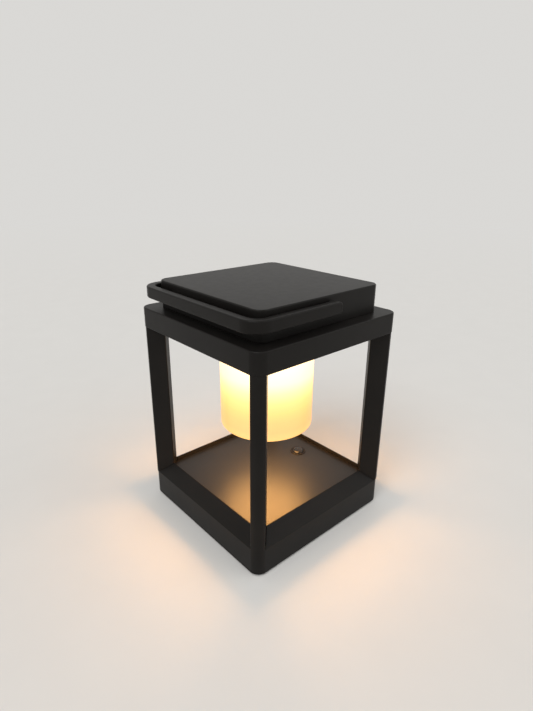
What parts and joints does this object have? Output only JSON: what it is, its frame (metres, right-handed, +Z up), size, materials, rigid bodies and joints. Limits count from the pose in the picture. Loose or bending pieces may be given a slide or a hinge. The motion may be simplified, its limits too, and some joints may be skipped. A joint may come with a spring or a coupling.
{
  "type": "lantern table lamp",
  "caption": "Square portable lantern lamp: black base and top frame on diagonal corner posts, hanging opal cylinder diffuser, folding carrying handle round the cap, push button on the deck.",
  "frame": {"origin": "middle of the base, on the surface that the lamp stands on", "axes": "+Z up; +X along the front right face, towards the charge socket and the button; +Y along the front left face; the handle folds down on the -X side"},
  "size_m": [0.15, 0.15, 0.2041],
  "materials": {
    "black_coat": "satin black powder coat on aluminium",
    "black_plastic": "matte black moulding",
    "black_rubber": "matte rubber",
    "opal": "satin opal, lit from inside",
    "white_plastic": "matte white moulding",
    "steel": "plain steel",
    "bare_aluminium": "bare aluminium",
    "white_board": "aluminium board with white mask",
    "green_board": "circuit board with green mask",
    "led_phosphor": "yellow phosphor",
    "cell_wrap": "blue sleeve over a metal can",
    "brass": "plain brass"
  },
  "bodies": {
    "lantern": {"base_rim": "black_coat", "deck_plate": "black_coat", "bottom_cover": "black_plastic", "cover_screws": "steel", "rubber_feet": "black_rubber", "battery_cells": "cell_wrap", "battery_cradle": "black_plastic", "control_board": "green_board", "board_screws": "steel", "charge_socket": "steel", "tact_switch": "black_plastic", "button_ring": "black_coat", "post_front": "black_coat", "post_right": "black_coat", "post_back": "black_coat", "post_left": "black_coat", "lower_post_screws": "steel", "upper_post_screws": "steel", "top_frame": "black_coat", "ceiling_plate": "black_coat", "ceiling_screws": "steel", "diffuser": "opal", "diffuser_gasket": "black_rubber", "clamp_ring": "white_plastic", "clamp_screws": "steel", "led_board": "white_board", "led_chips": "led_phosphor", "heat_spreader": "bare_aluminium", "driver_board": "green_board", "driver_screws": "steel", "supply_lead": "black_rubber", "lead_plugs": "white_plastic", "cap_shell": "black_coat", "cap_screws": "steel", "pivot_bushes": "brass", "friction_washers": "black_rubber"},
    "handle": {"handle": "black_coat", "pivot_pins": "steel"},
    "button": {"power_button": "black_plastic", "switch_plunger": "white_plastic"}
  },
  "joints": [
    {"name": "handle_hinge", "type": "hinge", "parent": "lantern", "child": "handle", "pos_m": [0.0045, 0, 0.1955], "axis": [0, 1, 0], "range_deg": [0, 90]},
    {"name": "button_press", "type": "slide", "parent": "lantern", "child": "button", "axis": [0, 0, -1], "range_m": [0, 0.0012], "stiffness_N_per_m": 400}
  ]
}
